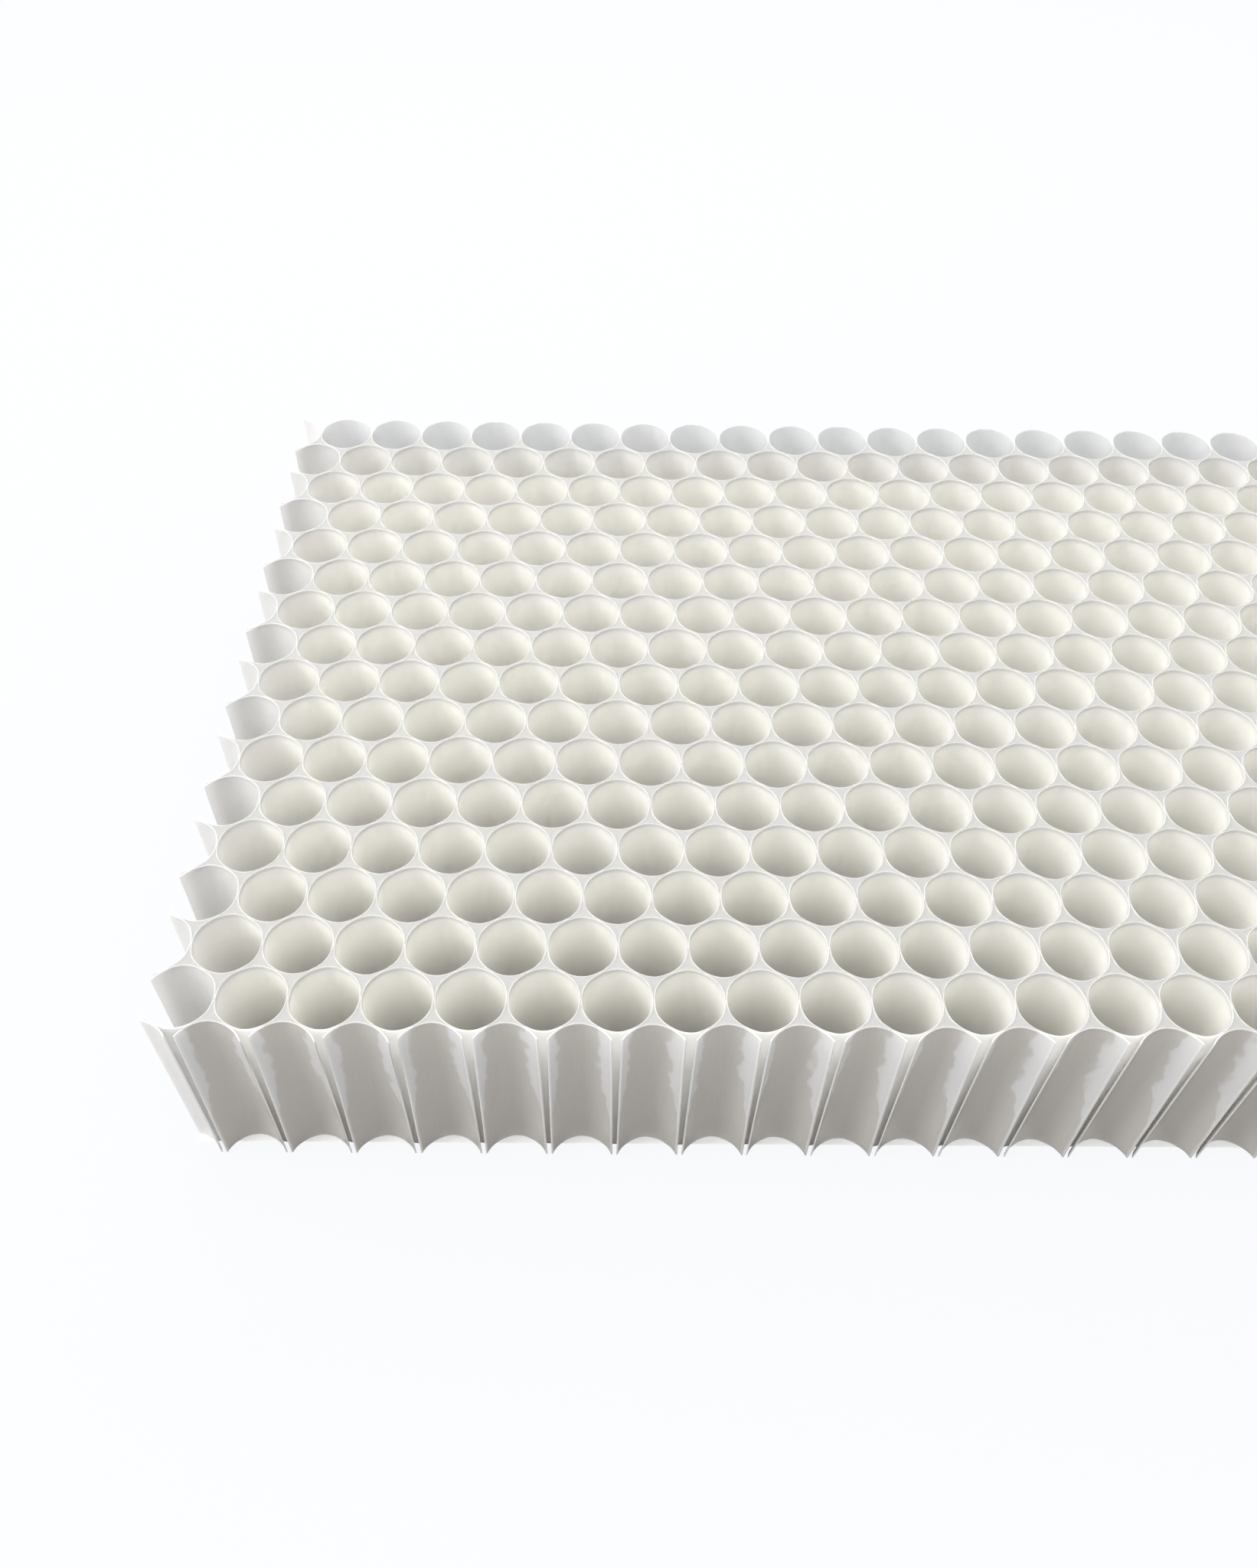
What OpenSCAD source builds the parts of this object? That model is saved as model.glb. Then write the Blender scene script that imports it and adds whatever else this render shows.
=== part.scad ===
// Tubular honeycomb core panel. Thin round tubes stand side by side in a hexagonal
// pattern. They are held together where the material melted as the block was cut to
// height: a thin film closes each three-cornered space between tubes at both faces.
// The front and the two side faces are cut straight through the tubes. The back face
// is the natural edge of the block, a row of whole tubes.
//
// The origin is the centre of the bottom face. The rows run along X, the tubes stand
// along Z, and the cut front face looks towards -Y.

/* [Tubes] */
// Distance between the axes of neighbouring tubes
pitch = 8; // [6:0.5:12]
// Thickness of a tube's wall
wall = 0.18; // [0.12:0.02:0.4]
// Gap that the melted film bridges between neighbouring tubes
weld_gap = 0.08; // [0.04:0.02:0.1]

/* [Panel] */
// Height of the panel along the tubes
panel_h = 28; // [10:1:80]
// Whole tubes in each row whose end tubes are cut in half
whole_tubes = 20; // [4:1:20]
// Distance of the front cut behind the axes of the front row, at the top face
front_cut = 2; // [1:0.1:2.4]
// How much further back the front cut is at the top than at the bottom
front_lean = 0.5; // [0:0.1:0.8]
// Width that the side cut leaves of a tube beside its axis, as a share of the pitch
side_share = 0.43; // [0.3:0.01:0.46]

/* [Melted film] */
// Thickness of the film at the top and the bottom face
film_t = 0.6; // [0.4:0.1:1.5]
// Clearance between the film and each tube
film_clear = 0.005; // [0.005:0.005:0.015]

/* [Hidden] */
// Rows of whole tubes behind the cut front row, fixed by the list of nodes
LAST_ROW = 16;

$fn = 96;
tube_d = pitch - weld_gap;
bore_d = tube_d - 2 * wall;
row_step = pitch * sqrt(3) / 2;

// Rows with an odd number have one whole tube less and end in nearly whole, open tubes.
panel_w = (whole_tubes - 1 + 2 * (side_share + 0.5)) * pitch;
end_x = whole_tubes / 2 * pitch;
back_y = LAST_ROW * row_step + tube_d / 2;
front_y = front_cut - front_lean;
panel_d = back_y - front_y;
y_shift = -(front_y + back_y) / 2;
past = 1;

function is_odd(row) = row % 2 == 1;
function row_y(row) = row * row_step + y_shift;
function tube_count(row) = is_odd(row) ? whole_tubes - 1 : whole_tubes;
function tube_x(row, i) = (i - (tube_count(row) - 1) / 2) * pitch;

// One tube at its full height, standing on the bottom face
module tube() {
    difference() {
        cylinder(d = tube_d, h = panel_h);
        translate([0, 0, -past]) cylinder(d = bore_d, h = panel_h + 2 * past);
    }
}

// The block that the front cut and the side cuts leave; the back is left uncut
module cut_block() {
    translate([-panel_w / 2, y_shift, 0])
        rotate([90, 0, 90])
            linear_extrude(panel_w)
                polygon([
                    [front_y, 0],
                    [back_y + past, 0],
                    [back_y + past, panel_h],
                    [front_cut, panel_h]
                ]);
}

// One tube with what lies outside the cuts removed
module cut_tube(x, row) {
    intersection() {
        translate([x, row_y(row), 0]) tube();
        cut_block();
    }
}

// The whole tubes of one row
module tube_row(row) {
    color("whitesmoke")
        for (i = [0:tube_count(row) - 1])
            translate([tube_x(row, i), row_y(row), 0]) tube();
}

// The front row, of which the front cut leaves only the back of each tube
module front_flutes() {
    color("gainsboro")
        for (i = [0:tube_count(0) - 1])
            cut_tube(tube_x(0, i), 0);
}

// The corner piece that both the front cut and a side cut leave; side is -1 or 1
module corner_flute(side) {
    color("gainsboro") cut_tube(side * (end_x + pitch / 2), 0);
}

// End tubes of the odd rows, open in a narrow slot along the side cut
module open_tubes(side) {
    color("lightgray")
        for (row = [1:2:LAST_ROW])
            cut_tube(side * end_x, row);
}

// End tubes of the even rows, of which less than half is left
module half_tubes(side) {
    color("lightgray")
        for (row = [2:2:LAST_ROW])
            cut_tube(side * (end_x + pitch / 2), row);
}

// Holes for the tubes of one row, end tubes included
module tube_holes(row) {
    for (i = [-1:tube_count(row)])
        translate([tube_x(row, i), row_y(row), -past])
            cylinder(d = tube_d + 2 * film_clear, h = film_t + 2 * past);
}

// Melted film between one row and the row in front of it, lying at height z
module film(row, z) {
    front = row == 1 ? row_step / 2 : weld_gap;
    color("white")
        translate([0, 0, z])
            difference() {
                translate([-panel_w / 2, row_y(row - 1) + front, 0])
                    cube([panel_w, row_step - front - weld_gap, film_t]);
                tube_holes(row - 1);
                tube_holes(row);
            }
}

for (row = [1:LAST_ROW]) {
    tube_row(row);
    film(row, panel_h - film_t);
    film(row, 0);
}
front_flutes();
corner_flute(-1);  // left_corner_flute
corner_flute(1);  // right_corner_flute
open_tubes(-1);  // left_open_tubes
open_tubes(1);  // right_open_tubes
half_tubes(-1);  // left_half_tubes
half_tubes(1);  // right_half_tubes
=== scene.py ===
"""Looks of a tubular honeycomb core panel: thin white plastic tubes in a hexagonal pattern,
melted together at both faces. Everything is in metres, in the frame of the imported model:
rows run along X, tubes stand along Z, and the cut front face looks towards -Y."""

import math
import random

import bpy
from mathutils import Matrix, Vector, noise


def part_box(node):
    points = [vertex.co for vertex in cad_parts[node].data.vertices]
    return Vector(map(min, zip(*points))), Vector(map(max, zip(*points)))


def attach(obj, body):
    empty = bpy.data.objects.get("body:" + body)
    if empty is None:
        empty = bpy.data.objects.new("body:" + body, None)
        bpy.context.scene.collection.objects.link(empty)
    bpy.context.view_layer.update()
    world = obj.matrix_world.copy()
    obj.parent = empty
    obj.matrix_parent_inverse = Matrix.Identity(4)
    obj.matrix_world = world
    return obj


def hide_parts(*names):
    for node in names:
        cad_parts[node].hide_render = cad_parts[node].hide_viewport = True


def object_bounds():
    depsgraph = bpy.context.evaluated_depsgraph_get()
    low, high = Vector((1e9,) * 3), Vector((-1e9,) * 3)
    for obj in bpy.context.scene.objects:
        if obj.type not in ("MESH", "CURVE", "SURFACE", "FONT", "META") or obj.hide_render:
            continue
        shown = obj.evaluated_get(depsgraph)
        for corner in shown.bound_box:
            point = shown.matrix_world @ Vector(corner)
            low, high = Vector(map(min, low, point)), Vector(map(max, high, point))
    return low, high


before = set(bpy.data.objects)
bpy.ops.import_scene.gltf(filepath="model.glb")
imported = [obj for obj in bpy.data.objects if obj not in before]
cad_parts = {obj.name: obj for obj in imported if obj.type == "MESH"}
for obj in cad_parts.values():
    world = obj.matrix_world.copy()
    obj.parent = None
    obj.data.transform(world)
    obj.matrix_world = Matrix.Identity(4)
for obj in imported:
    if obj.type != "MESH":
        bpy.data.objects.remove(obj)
cad_low, cad_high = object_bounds()
MM = 0.001
random.seed(16)

# ---------------------------------------------------------------- driving dimensions
LAST_ROW = 16
odd_low, odd_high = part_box("tube_row_1")
even_low, even_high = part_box("tube_row_2")
TUBE_D = odd_high.y - odd_low.y
ROW_STEP = even_low.y - odd_low.y
PITCH = ROW_STEP * 2 / math.sqrt(3)
PANEL_H = cad_high.z
ROW_0_Y = (odd_low.y + odd_high.y) / 2 - ROW_STEP
SIDE_X = cad_high.x  # the side cuts lie at -SIDE_X and SIDE_X
FRONT_Y = cad_low.y  # the front cut at the bottom face
FRONT_LEAN = 0.5 * MM  # how much further back it is at the top face

WALL = 0.16 * MM
BULGE = 0.07 * MM  # how far a wall bulges between the places where neighbours press on it
SHIFT = 0.11 * MM  # how far a tube stands off the regular pattern
AROUND = 48  # points around a whole tube
ARC_LEAST = 6  # fewest steps along the arc of a cut tube
ARC_FINER = 1.3  # how much finer its steps are than a whole tube's
CUT_WAVE = 0.025  # unevenness of a cut edge, as an angle
CUT_WAVE_LENGTH = 4 * MM


def row_y(row):
    return ROW_0_Y + row * ROW_STEP


def tube_count(row):
    """Whole tubes in a row; every odd row has one less than its neighbours."""
    low, high = (even_low, even_high) if row % 2 == 0 else (odd_low, odd_high)
    return round((high.x - low.x - TUBE_D) / PITCH) + 1


def tube_x(row, i):
    return (i - (tube_count(row) - 1) / 2) * PITCH


# ---------------------------------------------------------------- pattern of tubes
def neighbours(row, i):
    """The six tubes around tube i of a row, counterclockwise from the one on its right."""
    left = i - 1 if row % 2 == 0 else i
    right = left + 1
    return [(row, i + 1), (row + 1, right), (row + 1, left), (row, i - 1), (row - 1, left), (row - 1, right)]


def make_pattern():
    """Where every tube stands, and the ones beyond the cuts. Whole tubes are counted from 0."""
    places = {}
    for row in range(-1, LAST_ROW + 2):
        for i in range(-2, tube_count(row) + 2):
            shift = [random.uniform(-SHIFT, SHIFT) for _ in range(2)]
            places[row, i] = Vector((tube_x(row, i) + shift[0], row_y(row) + shift[1]))
    return places


places = make_pattern()


class Tube:
    """One tube's outline: its neighbours press it flat, and it bulges a little between them."""

    WAVES_AROUND = (3, 5, 9, 14)

    def __init__(self, row, i):
        self.at = places[row, i]
        self.reach = [(places[n] - self.at).length / 2 for n in neighbours(row, i)]
        self.waves = [(n, random.uniform(0, math.tau)) for n in self.WAVES_AROUND]

    def outer(self, angle):
        """Distance from the tube's axis to its outer face."""
        turn = (angle % math.tau) / (math.tau / 6)
        k = int(turn) % 6
        blend = (1 - math.cos((turn - int(turn)) * math.pi)) / 2
        pressed = self.reach[k] * (1 - blend) + self.reach[(k + 1) % 6] * blend
        return pressed + BULGE * (1 - math.cos(6 * angle)) / 2

    def wave(self, angle):
        """A smooth unevenness from -1 to 1 around the rim."""
        return math.tanh(sum(math.sin(n * angle + start) for n, start in self.waves) / 2)

    def point(self, angle, inwards, z):
        """A point of the wall, that far in from its outer face, and kept inside the CAD model's box."""
        r = self.outer(angle)
        if self.at.y + r * math.sin(angle) > cad_high.y:
            r = (cad_high.y - self.at.y) / math.sin(angle)
        x = self.at.x + (r - inwards) * math.cos(angle)
        y = self.at.y + (r - inwards) * math.sin(angle)
        return (max(cad_low.x, min(x, cad_high.x)), max(cad_low.y, y), z)


tubes = {
    (row, i): Tube(row, i) for row in range(0, LAST_ROW + 1) for i in range(-1, tube_count(row) + 1)
}


# ---------------------------------------------------------------- mesh helpers
SHARP = math.radians(50)


class Builder:
    """Collects the mesh of one piece. Each point has a share of melted plastic and painted highlight, and a
    reflection band value that is above zero where a painted reflection lies along a cut edge."""

    def __init__(self):
        self.points, self.melt, self.smear, self.faces = [], [], [], []

    def add(self, points, melt, faces, smear=None):
        start = len(self.points)
        self.points += points
        self.melt += melt
        self.smear += smear or [-1] * len(points)
        self.faces += [tuple(start + k for k in face) for face in faces]

    def piece(self, node, material):
        mesh = bpy.data.meshes.new(node + "_look")
        mesh.from_pydata(self.points, [], self.faces)
        for name, values in (("melt", self.melt), ("smear", self.smear)):
            mesh.attributes.new(name, "FLOAT", "POINT").data.foreach_set("value", values)
        mesh.materials.append(material)
        mesh.update()
        mesh.shade_smooth()
        mesh.set_sharp_from_angle(angle=SHARP)
        piece = bpy.data.objects.new(node + "_look", mesh)
        bpy.context.scene.collection.objects.link(piece)
        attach(piece, "root")
        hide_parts(node)


RIM_ROUND = 0.07 * MM
RIM_DROP = 0.05 * MM  # how uneven a rim is
RIM_MELT_AND_HIGHLIGHT = 0.5  # share of melted plastic just beside a rim, also a painted highlight on the flutes' rims
FOOT_TURN = 2  # angle by which the bottom rim's unevenness is turned against the top's
# Heights at which a wall has points, as a height above the bottom rim or below the top rim
FOOT_LEVELS = (0.4 * MM, 3 * MM)
SHARES = (0.2, 0.3, 0.4, 0.55, 0.7)
HEAD_LEVELS = (3 * MM, 0.25 * MM)


def wall_section(tube, angle):
    """The section of a wall as (distance in from the outer face, height, share of melt and painted
    highlight).
    It goes up the inner face, over the top rim, down the outer face and under the foot."""
    top = PANEL_H - RIM_DROP * (1 + tube.wave(angle)) / 2
    foot = RIM_DROP * (1 + tube.wave(angle + FOOT_TURN)) / 2
    heights = [foot + RIM_ROUND, *FOOT_LEVELS, *(PANEL_H * s for s in SHARES)]
    heights += [*(PANEL_H - z for z in HEAD_LEVELS), top - RIM_ROUND]
    melts = [RIM_MELT_AND_HIGHLIGHT] + [0] * (len(heights) - 2) + [RIM_MELT_AND_HIGHLIGHT]
    inner = [(WALL, z, m) for z, m in zip(heights, melts)]
    outer = [(0, z, m) for z, m in zip(reversed(heights), reversed(melts))]
    return inner + [(WALL / 2, top, 1)] + outer + [(WALL / 2, foot, 1)]


def all_around(z):
    """Limits of a whole tube."""
    return 0, math.tau


def add_wall(build, tube, limits=all_around, smear_width=None):
    """A whole tube, or the arc of one between the angles that limits(z) gives. smear_width(share, z)
    is how far a painted reflection reaches from the cut edge that is nearer to share."""
    closed = limits is all_around
    middle_start, middle_end = limits(PANEL_H / 2)
    turn = middle_end - middle_start
    steps = AROUND if closed else max(ARC_LEAST, round(AROUND * turn / math.tau * ARC_FINER))
    columns = steps if closed else steps + 1
    points, melts, smears = [], [], []
    for c in range(columns):
        share = c / steps
        section = wall_section(tube, middle_start + turn * share)
        for inwards, z, melt in section:
            start, end = limits(z)
            # the cut edges and the foot of a cut tube are fully melt and painted highlight; on the flutes
            # this paints a light line
            if not closed and (c in (0, steps) or z < FOOT_LEVELS[0]):
                melt = 1
            points.append(tube.point(start + (end - start) * share, inwards, z))
            melts.append(melt)
            if smear_width:
                from_edge = min(share, 1 - share) * (end - start) * TUBE_D / 2
                smears.append(1 - from_edge / smear_width(share, z))
    size = len(section)
    faces = []
    for c in range(steps):
        n = (c + 1) % columns
        for k in range(size):
            m = (k + 1) % size
            faces.append((c * size + k, n * size + k, n * size + m, c * size + m))
    if not closed:
        last = steps * size
        faces.append(tuple(range(size)))
        faces.append(tuple(last + k for k in reversed(range(size))))
    build.add(points, melts, faces, smears)


# ---------------------------------------------------------------- cuts
def front_angle(tube, z):
    """The angle above which a front tube's wall lies behind the front cut."""
    depth = FRONT_Y + FRONT_LEAN * z / PANEL_H - tube.at.y
    return math.asin(depth / (TUBE_D / 2))


def side_angle(tube, side):
    """Half the angle of the wall that a side cut leaves, measured from the inward direction."""
    return math.acos(max(-1, (side * tube.at.x - SIDE_X) / (TUBE_D / 2)))


# ---------------------------------------------------------------- film
FILM_T = 0.5 * MM
FILM_DIP = 0.1 * MM  # how far it lies below the rims; the next four are shares of it
FILM_AT_RIM, FILM_HOLLOW, FILM_ROUGH, FILM_AT_MIDDLE = 0.7, 0.5, 0.5, 1.2
FILM_LUMP = 0.45 * MM  # size of its unevenness
FILM_ARC = 5  # steps along each of the three arcs
FILM_RINGS = (1, 0.88, 0.55)  # its rings of points, as shares of the way from the middle to the outline
# share of melted plastic and painted highlight at a film's rim, which is lighter there
FILM_RIM_MELT_AND_HIGHLIGHT = 0.6
FILM_LEAST = 0.02 * MM * MM  # smaller spaces stay open


def triangle_outline(corners):
    """Outline of the space between three tubes, through the middle of their walls. Each corner is a tube
    and the angle at which its arc starts."""
    outline = []
    for tube, start in corners:
        for k in range(FILM_ARC + 1):
            angle = start - math.radians(60) * k / FILM_ARC
            outline.append(Vector(tube.point(angle, WALL / 2, 0)[:2]))
    return outline


def clipped(outline, keep):
    """The part of an outline where keep(point), a distance, is above zero."""
    result = []
    for a, b in zip(outline, outline[1:] + outline[:1]):
        da, db = keep(a), keep(b)
        if da >= 0:
            result.append(a)
        if (da >= 0) != (db >= 0):
            result.append(a.lerp(b, da / (da - db)))
    return result


def area_centre(outline):
    """An outline's area, below zero where it runs clockwise, and its centre of area."""
    area, x, y = 0, 0, 0
    for a, b in zip(outline, outline[1:] + outline[:1]):
        cross = a.x * b.y - b.x * a.y
        area += cross
        x += (a.x + b.x) * cross
        y += (a.y + b.y) * cross
    return area / 2, Vector((x, y)) / (3 * area) if abs(area) > 1e-12 else outline[0]


def add_film(build, outline, top):
    """A thin plate across one space between tubes, uneven on its outer side."""
    for side in (1, -1):
        outline = clipped(outline, lambda p: SIDE_X + side * p.x)
    if len(outline) < 3:
        return
    area, centre = area_centre(outline)
    if abs(area) < FILM_LEAST:
        return
    if area < 0:
        outline.reverse()
    count = len(outline)
    points, melts, faces = [], [], []
    for share in FILM_RINGS:
        for p in outline:
            at = centre.lerp(p, share)
            rough = noise.noise(Vector((at.x, at.y, 0)) / FILM_LUMP)
            drop = FILM_DIP * (FILM_AT_RIM + FILM_HOLLOW * (1 - share) + FILM_ROUGH * rough)
            points.append((at.x, at.y, PANEL_H - drop if top else drop))
            melts.append(FILM_RIM_MELT_AND_HIGHLIGHT if share == 1 else 0)
    drop = FILM_DIP * FILM_AT_MIDDLE
    points.append((centre.x, centre.y, PANEL_H - drop if top else drop))
    melts.append(0)
    middle = len(points) - 1
    inside = PANEL_H - FILM_T if top else FILM_T
    back = len(points)
    points += [(p.x, p.y, inside) for p in outline] + [(centre.x, centre.y, inside)]
    melts += [0] * (count + 1)
    for k in range(count):
        n = (k + 1) % count
        for ring in range(len(FILM_RINGS) - 1):
            a, b = ring * count, (ring + 1) * count
            faces.append((a + k, a + n, b + n, b + k))
        last = (len(FILM_RINGS) - 1) * count
        faces.append((last + k, last + n, middle))
        faces.append((back + k, back + n, n, k))
        faces.append((back + n, back + k, back + count))
    if not top:
        faces = [tuple(reversed(face)) for face in faces]
    build.add(points, melts, faces)


def film_spaces(row):
    """Outlines of the spaces between one row and the row in front of it."""
    third = math.tau / 3
    for i in range(-1, tube_count(row - 1) + 1):
        base = (row - 1, i)
        above_right, above_left = neighbours(*base)[1:3]
        beside = neighbours(*base)[0]
        if above_right in tubes and above_left in tubes:
            yield triangle_outline([
                (tubes[base], third),
                (tubes[above_right], 2 * third),
                (tubes[above_left], 0),
            ])
        if row > 1 and beside in tubes and above_right in tubes:
            yield triangle_outline([
                (tubes[base], third / 2),
                (tubes[beside], math.pi),
                (tubes[above_right], -third / 2),
            ])


# ---------------------------------------------------------------- materials
def add_node(material, kind, **values):
    """A new node. Each value is a setting of the node or, where it has no such setting, an input."""
    node = material.node_tree.nodes.new(kind)
    for name, value in values.items():
        if hasattr(node, name):
            setattr(node, name, value)
        else:
            node.inputs[name].default_value = value
    return node


PLASTIC_IOR = 1.49
MELTED_ROUGHNESS = 0.55
DUST = (0.34, 0.31, 0.27, 1)


def plastic(slot, base, melted, roughness, see_through, streaky=0.015):
    """White plastic that lets light through, with drawing streaks, cloudiness and specks of dust, melted
    plastic that is also a painted highlight at rims and cut edges, and painted reflection bands along cut
    edges.
    """
    material = bpy.data.materials.new(slot + "_look")
    material["slot"] = slot
    material.use_nodes = True
    tree = material.node_tree
    link = tree.links.new
    shader = tree.nodes["Principled BSDF"]
    shader.inputs["IOR"].default_value = PLASTIC_IOR
    place = add_node(material, "ShaderNodeTexCoord").outputs["Object"]

    def texture(kind, scale, **values):
        mapping = add_node(material, "ShaderNodeMapping")
        mapping.inputs["Scale"].default_value = [s / MM for s in scale]
        node = add_node(material, kind, **values)
        link(place, mapping.inputs["Vector"])
        link(mapping.outputs["Vector"], node.inputs["Vector"])
        return node

    def mixed(factor, a, b):
        node = add_node(material, "ShaderNodeMix", data_type="RGBA")
        for socket, value in ((node.inputs[0], factor), (node.inputs[6], a), (node.inputs[7], b)):
            if isinstance(value, (tuple, float, int)):
                socket.default_value = value
            else:
                link(value, socket)
        return node.outputs[2]

    def ramp(source, low, high, dark, light):
        node = add_node(material, "ShaderNodeMapRange")
        for name, value in (("From Min", low), ("From Max", high), ("To Min", dark), ("To Max", light)):
            node.inputs[name].default_value = value
        link(source, node.inputs["Value"])
        return node.outputs["Result"]

    streaks = texture("ShaderNodeTexNoise", (1.6, 1.6, 0.05), Detail=4.0)
    clouds = texture("ShaderNodeTexNoise", (0.22, 0.22, 0.16), Detail=3.0)
    specks = texture("ShaderNodeTexVoronoi", (0.75, 0.75, 0.75))
    melt = add_node(material, "ShaderNodeAttribute", attribute_name="melt").outputs["Fac"]
    # painted reflection bands along the flutes' cut edges, with a wandering inner edge
    near_edge = add_node(material, "ShaderNodeAttribute", attribute_name="smear").outputs["Fac"]
    wander = texture("ShaderNodeTexNoise", (0.12, 0.12, 0.07), Detail=1.0)
    smeared = add_node(material, "ShaderNodeMath", operation="ADD")
    link(near_edge, smeared.inputs[0])
    link(ramp(wander.outputs["Fac"], 0.3, 0.7, -0.25, 0.25), smeared.inputs[1])
    smear = ramp(smeared.outputs[0], 0, 0.22, 0, 0.85)

    darker = tuple(c * (1 - streaky) for c in base)
    colour = mixed(ramp(streaks.outputs["Fac"], 0.3, 0.7, 0, 1), (*darker, 1), (*base, 1))
    cloudy = (base[0] * 0.97, base[1] * 0.96, base[2] * 0.94, 1)
    colour = mixed(ramp(clouds.outputs["Fac"], 0.35, 0.65, 0.4, 0), colour, cloudy)
    # paint the reflection bands along the cut edges
    colour = mixed(smear, colour, (*melted, 1))
    # melted plastic, and painted highlights along rims and cut edges
    colour = mixed(melt, colour, (*melted, 1))
    dots = ramp(specks.outputs["Distance"], 0.045, 0.075, 0.55, 0)
    colour = mixed(dots, colour, DUST)
    link(colour, shader.inputs["Base Color"])
    link(ramp(melt, 0, 1, roughness, MELTED_ROUGHNESS), shader.inputs["Roughness"])

    grain = texture("ShaderNodeTexNoise", (5, 5, 1.2), Detail=2.0)
    bump = add_node(material, "ShaderNodeBump", Strength=0.12, Distance=0.05 * MM)
    link(grain.outputs["Fac"], bump.inputs["Height"])
    link(bump.outputs["Normal"], shader.inputs["Normal"])

    through = add_node(material, "ShaderNodeBsdfTranslucent")
    link(colour, through.inputs["Color"])
    both = add_node(material, "ShaderNodeMixShader")
    both.inputs[0].default_value = see_through
    link(shader.outputs[0], both.inputs[1])
    link(through.outputs[0], both.inputs[2])
    link(both.outputs[0], tree.nodes["Material Output"].inputs["Surface"])
    return material


tube_plastic = plastic("tube_plastic", (0.99, 0.986, 0.97), (0.8, 0.8, 0.79), 0.35, 0.5)
edge_plastic = plastic("cut_tube_plastic", (0.88, 0.877, 0.87), (0.86, 0.86, 0.86), 0.3, 0.42)
# the front flutes' plastic: its base is darker and warmer than the other tubes', painted shade on walls that
# face away from the light; its lighter melt colour paints their reflection bands and rim highlights
flute_shaded_plastic = plastic("cut_tube_plastic", (0.74, 0.715, 0.68), (0.85, 0.85, 0.845), 0.2, 0.4, streaky=0.05)
# the back row's plastic: greyer and bluer than the other tubes', painted shade of the back row's walls
back_row_shaded_plastic = plastic("tube_plastic", (0.86, 0.863, 0.865), (0.8, 0.8, 0.8), 0.35, 0.4)
film_plastic = plastic("film_plastic", (0.5, 0.493, 0.472), (0.7, 0.7, 0.69), 0.5, 0.3, streaky=0.18)


# ---------------------------------------------------------------- pieces
def make_tube_rows():
    for row in range(1, LAST_ROW + 1):
        build = Builder()
        for i in range(tube_count(row)):
            add_wall(build, tubes[row, i])
        # the back row takes the plastic with painted shade
        build.piece(f"tube_row_{row}", back_row_shaded_plastic if row == LAST_ROW else tube_plastic)


TAB_H = 1.7 * MM
TAB_TURN = 0.26  # how far a tab reaches on around the tube, as an angle
TABBED_FLUTES = 3
REFLECTION_RIGHT, REFLECTION_LEFT = 2.4 * MM, 1.5 * MM  # how far the painted reflections reach in from the flutes' edges, at the top
REFLECTION_END, REFLECTION_TAPER = 0.25, 0.35  # where they end and over what height they narrow, as shares of PANEL_H
REFLECTION_LEAST = 0.05 * MM


# Width of the painted reflection band on a flute: it narrows downwards and ends above the foot.
def smear_width(share, z):
    widest = REFLECTION_RIGHT if share < 0.5 else REFLECTION_LEFT
    return max(REFLECTION_LEAST, widest * min(1, (z / PANEL_H - REFLECTION_END) / REFLECTION_TAPER))


def front_limits(tube, tab):
    """Limits of a wall that only the front cut has shortened, with a tab at the top of its right edge."""

    def limits(z):
        start = front_angle(tube, z)
        wave = CUT_WAVE * noise.noise(Vector((tube.at.x, 0, z)) / CUT_WAVE_LENGTH)
        on_tab = 1 if z > PANEL_H - TAB_H else 0
        return start + wave - tab * on_tab, math.pi - start + wave

    return limits


def make_front_flutes():
    """The front row's back walls. The first few keep a small tab."""
    build = Builder()
    for i in range(tube_count(0)):
        tab = TAB_TURN if i < TABBED_FLUTES else 0
        add_wall(build, tubes[0, i], front_limits(tubes[0, i], tab), smear_width)
    build.piece("front_flutes", flute_shaded_plastic)


def side_limits(tube, side):
    """Limits of a wall that only the side cut has shortened."""
    half = side_angle(tube, side)
    middle = 0 if side < 0 else math.pi

    def limits(z):
        wave = CUT_WAVE * noise.noise(Vector((0, tube.at.y, z)) / CUT_WAVE_LENGTH)
        return middle - half + wave, middle + half + wave

    return limits


def make_side_tubes(side, name):
    """The cut tubes of one side, which is -1 at the left and 1 at the right, and its corner flute."""
    for kind, rows in (("open", range(1, LAST_ROW, 2)), ("half", range(2, LAST_ROW + 1, 2))):
        build = Builder()
        for row in rows:
            tube = tubes[row, -1 if side < 0 else tube_count(row)]
            add_wall(build, tube, side_limits(tube, side))
        build.piece(f"{name}_{kind}_tubes", edge_plastic)
    tube = tubes[0, -1 if side < 0 else tube_count(0)]
    half = side_angle(tube, side)

    def corner(z):
        start = front_angle(tube, z)
        return (start, half) if side < 0 else (math.pi - half, math.pi - start)

    build = Builder()
    add_wall(build, tube, corner)
    build.piece(f"{name}_corner_flute", edge_plastic)


def make_films():
    for row in range(1, LAST_ROW + 1):
        for face, top in (("top", True), ("bottom", False)):
            build = Builder()
            for outline in film_spaces(row):
                add_film(build, outline, top)
            build.piece(f"{face}_film_{row}", film_plastic)


make_tube_rows()
make_front_flutes()
make_side_tubes(-1, "left")
make_side_tubes(1, "right")
make_films()


# ---------------------------------------------------------------- stage, light and camera
FLOOR_REACH = 3  # metres from the middle to each side
FLOOR_THROWS = 0.35  # how light the floor is to the panel
FLOOR_GLOW, FLOOR_SHOWS = 0.92, 0.04  # to the camera: its own glow, and how light it is besides
# The sky's strength: its middle value, and how much brighter it is overhead, to the left and at both sides
SKY, SKY_UP, SKY_LEFT, SKY_SIDES = 0.18, 2.9, 0.09, 0.6
SKY_OVERHEAD = 3.0  # how tightly the brightness overhead is gathered


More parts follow.
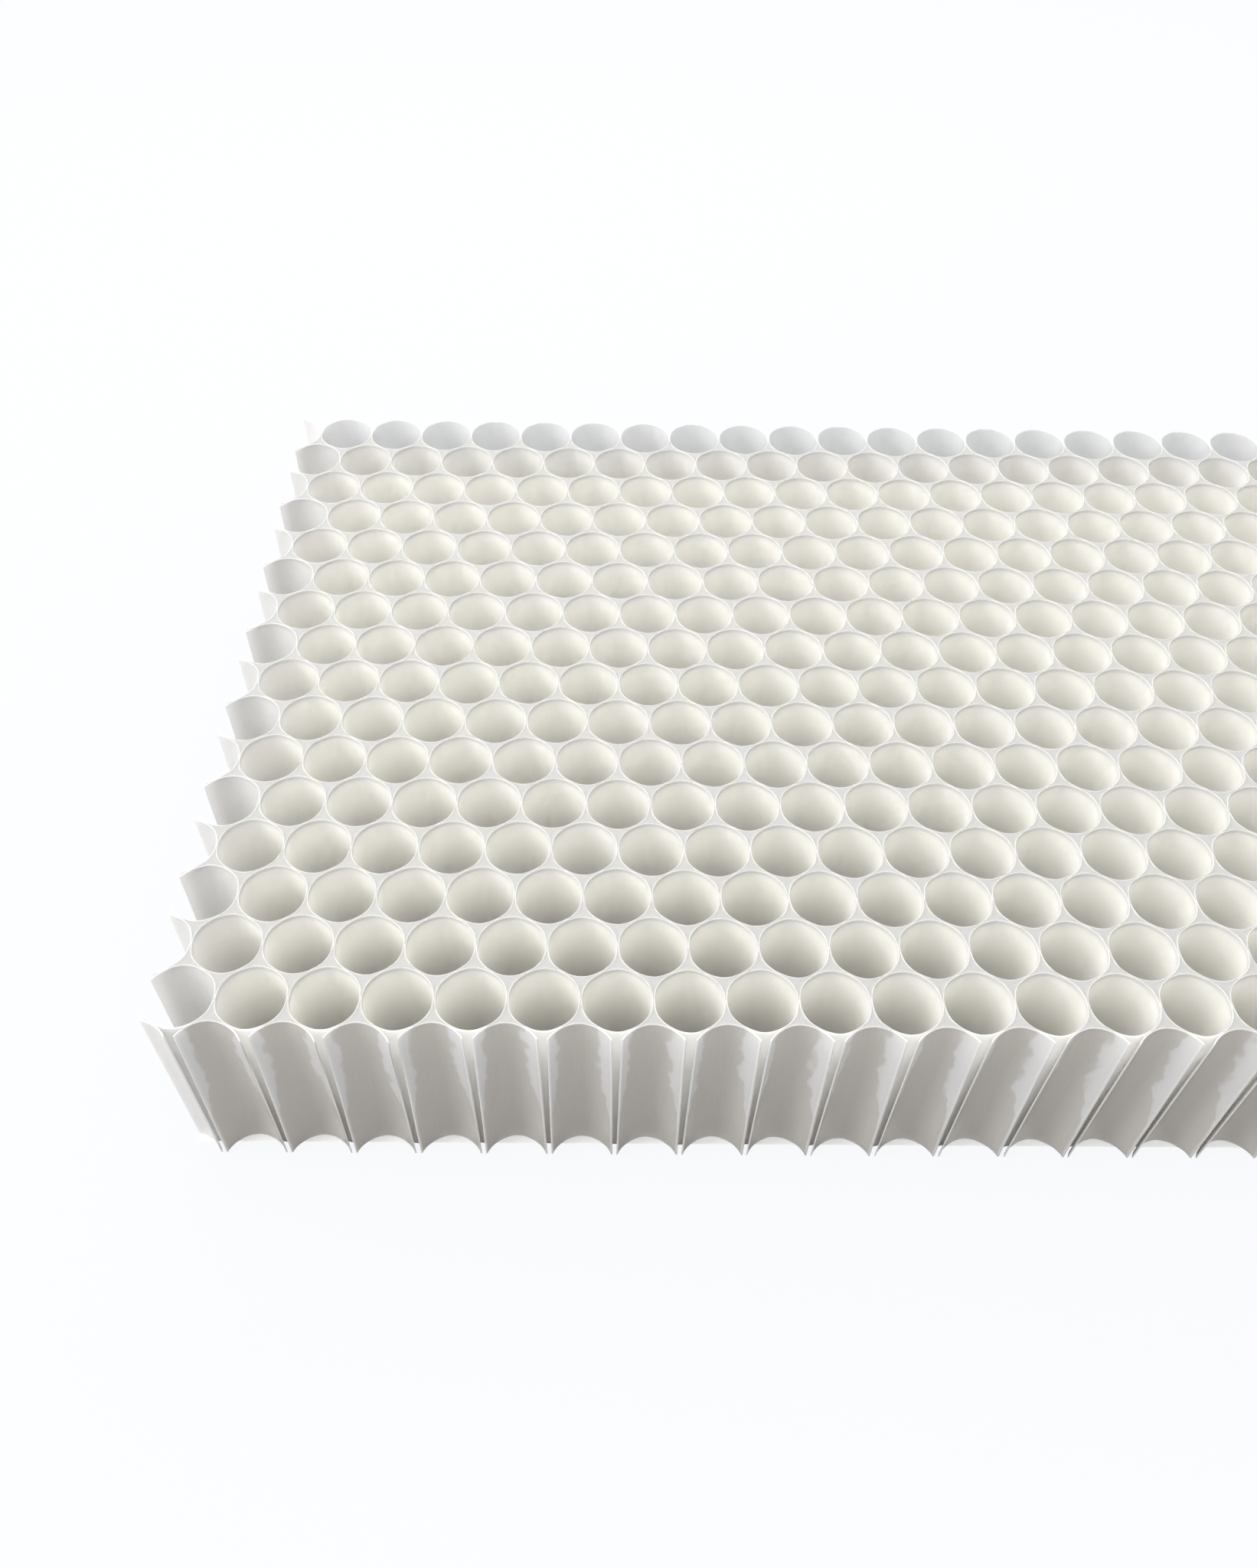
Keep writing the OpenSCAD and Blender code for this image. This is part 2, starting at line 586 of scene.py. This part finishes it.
def make_floor():
    """A plain white floor. It is overexposed to the camera, and throws less light than that on the panel.
    The part of it under the panel is paper white to both."""
    mesh = bpy.data.meshes.new("floor")
    size = FLOOR_REACH
    front, back = odd_low.y, cad_high.y
    around = [(-size, -size, 0), (size, -size, 0), (size, size, 0), (-size, size, 0)]
    under = [(-SIDE_X, front, 0), (SIDE_X, front, 0), (SIDE_X, back, 0), (-SIDE_X, back, 0)]
    sides = [(k, (k + 1) % 4, 4 + (k + 1) % 4, 4 + k) for k in range(4)]
    mesh.from_pydata(around + under, [], sides + [(4, 5, 6, 7)])
    floor = bpy.data.objects.new("floor", mesh)
    bpy.context.scene.collection.objects.link(floor)
    material = bpy.data.materials.new("floor_white")
    material.use_nodes = True
    tree = material.node_tree
    link = tree.links.new
    dim = tree.nodes["Principled BSDF"]
    dim.inputs["Base Color"].default_value = (*[FLOOR_THROWS] * 3, 1)
    dim.inputs["Roughness"].default_value = 0.9
    glow = add_node(material, "ShaderNodeEmission", Color=(0.97, 0.98, 1, 1), Strength=FLOOR_GLOW)
    pale = add_node(material, "ShaderNodeBsdfDiffuse", Color=(*[FLOOR_SHOWS] * 3, 1))
    bright = add_node(material, "ShaderNodeAddShader")
    link(glow.outputs[0], bright.inputs[0])
    link(pale.outputs[0], bright.inputs[1])
    path = add_node(material, "ShaderNodeLightPath")
    both = add_node(material, "ShaderNodeMixShader")
    link(path.outputs["Is Camera Ray"], both.inputs[0])
    link(dim.outputs[0], both.inputs[1])
    link(bright.outputs[0], both.inputs[2])
    link(both.outputs[0], tree.nodes["Material Output"].inputs["Surface"])
    mesh.materials.append(material)
    below = bpy.data.materials.new("floor_below")
    below.use_nodes = True
    below.node_tree.nodes["Principled BSDF"].inputs["Base Color"].default_value = (0.97, 0.97, 0.96, 1)
    mesh.materials.append(below)
    mesh.polygons[4].material_index = 1


def area_light(name, place, aim, size, power):
    light = bpy.data.lights.new(name, "AREA")
    light.shape = "RECTANGLE"
    light.size, light.size_y = size
    light.energy = power
    obj = bpy.data.objects.new(name, light)
    obj.location = place
    obj.rotation_euler = (Vector(aim) - Vector(place)).to_track_quat("-Z", "Y").to_euler()
    bpy.context.scene.collection.objects.link(obj)


def make_light():
    """A studio that is bright above and at the sides and dim in front and behind, and three soft lights."""
    world = bpy.data.worlds.new("studio")
    bpy.context.scene.world = world
    world.use_nodes = True
    nodes, link = world.node_tree.nodes, world.node_tree.links.new

    def maths(operation, *values):
        node = nodes.new("ShaderNodeMath")
        node.operation = operation
        for socket, value in zip(node.inputs, values):
            if isinstance(value, float):
                socket.default_value = value
            else:
                link(value, socket)
        return node.outputs[0]

    split = nodes.new("ShaderNodeSeparateXYZ")
    link(nodes.new("ShaderNodeTexCoord").outputs["Generated"], split.inputs[0])
    x, _, z = split.outputs
    overhead = maths("POWER", maths("MAXIMUM", z, 0.0), SKY_OVERHEAD)
    strength = maths("MULTIPLY_ADD", overhead, SKY_UP, SKY)
    strength = maths("MULTIPLY_ADD", x, -SKY_LEFT, strength)
    strength = maths("MULTIPLY_ADD", maths("ABSOLUTE", x), SKY_SIDES, strength)
    link(maths("MAXIMUM", strength, 0.0), nodes["Background"].inputs["Strength"])
    nodes["Background"].inputs["Color"].default_value = (0.985, 0.99, 1, 1)
    backdrop = nodes.new("ShaderNodeBackground")
    backdrop.inputs["Color"].default_value = (0.965, 0.975, 0.99, 1)
    both = nodes.new("ShaderNodeMixShader")
    link(nodes.new("ShaderNodeLightPath").outputs["Is Camera Ray"], both.inputs[0])
    link(nodes["Background"].outputs[0], both.inputs[1])
    link(backdrop.outputs[0], both.inputs[2])
    link(both.outputs[0], nodes["World Output"].inputs["Surface"])
    area_light("window", place=(-0.55, 0.05, 0.5), aim=(0, 0, 0), size=(0.4, 0.4), power=1.6)
    area_light("back", place=(0, 0.26, 0.28), aim=(0, 0.05, 0), size=(0.5, 0.12), power=0.8)
    area_light("lamp", place=(-0.34, -0.17, 0.16), aim=(-0.05, -0.05, 0.01), size=(0.1, 0.2), power=0.45)


ELEVATION, AZIMUTH, ROLL = math.radians(49.97), math.radians(1.327), math.radians(1.63)
SENSOR, LENS = 36, 29.76
BOUNCES = 16  # enough for light to find its way through the tubes
# The camera's place in tube spacings: left of the middle, before the front row, above the top
CAMERA_LEFT, CAMERA_BEFORE, CAMERA_ABOVE = 4.1404, 8.3037, 15.5199


def make_camera():
    camera = bpy.data.cameras.new("camera")
    camera.sensor_width = SENSOR
    camera.lens = LENS
    camera.clip_start = 10 * MM
    obj = bpy.data.objects.new("camera", camera)
    bpy.context.scene.collection.objects.link(obj)
    level = math.cos(ELEVATION)
    forward = Vector((math.sin(AZIMUTH) * level, math.cos(AZIMUTH) * level, -math.sin(ELEVATION)))
    right = forward.cross(Vector((0, 0, 1))).normalized()
    up = right.cross(forward)
    rolled_right = math.cos(ROLL) * right + math.sin(ROLL) * up
    rolled_up = -math.sin(ROLL) * right + math.cos(ROLL) * up
    turn = Matrix((rolled_right, rolled_up, -forward)).transposed().to_4x4()
    place = Vector((
        -CAMERA_LEFT * PITCH,
        ROW_0_Y - CAMERA_BEFORE * PITCH,
        PANEL_H + CAMERA_ABOVE * PITCH,
    ))
    obj.matrix_world = Matrix.Translation(place) @ turn
    bpy.context.scene.camera = obj


make_floor()
make_light()
make_camera()
bpy.context.scene.view_settings.view_transform = "Standard"
cycles = bpy.context.scene.cycles
cycles.max_bounces = cycles.diffuse_bounces = cycles.transmission_bounces = BOUNCES
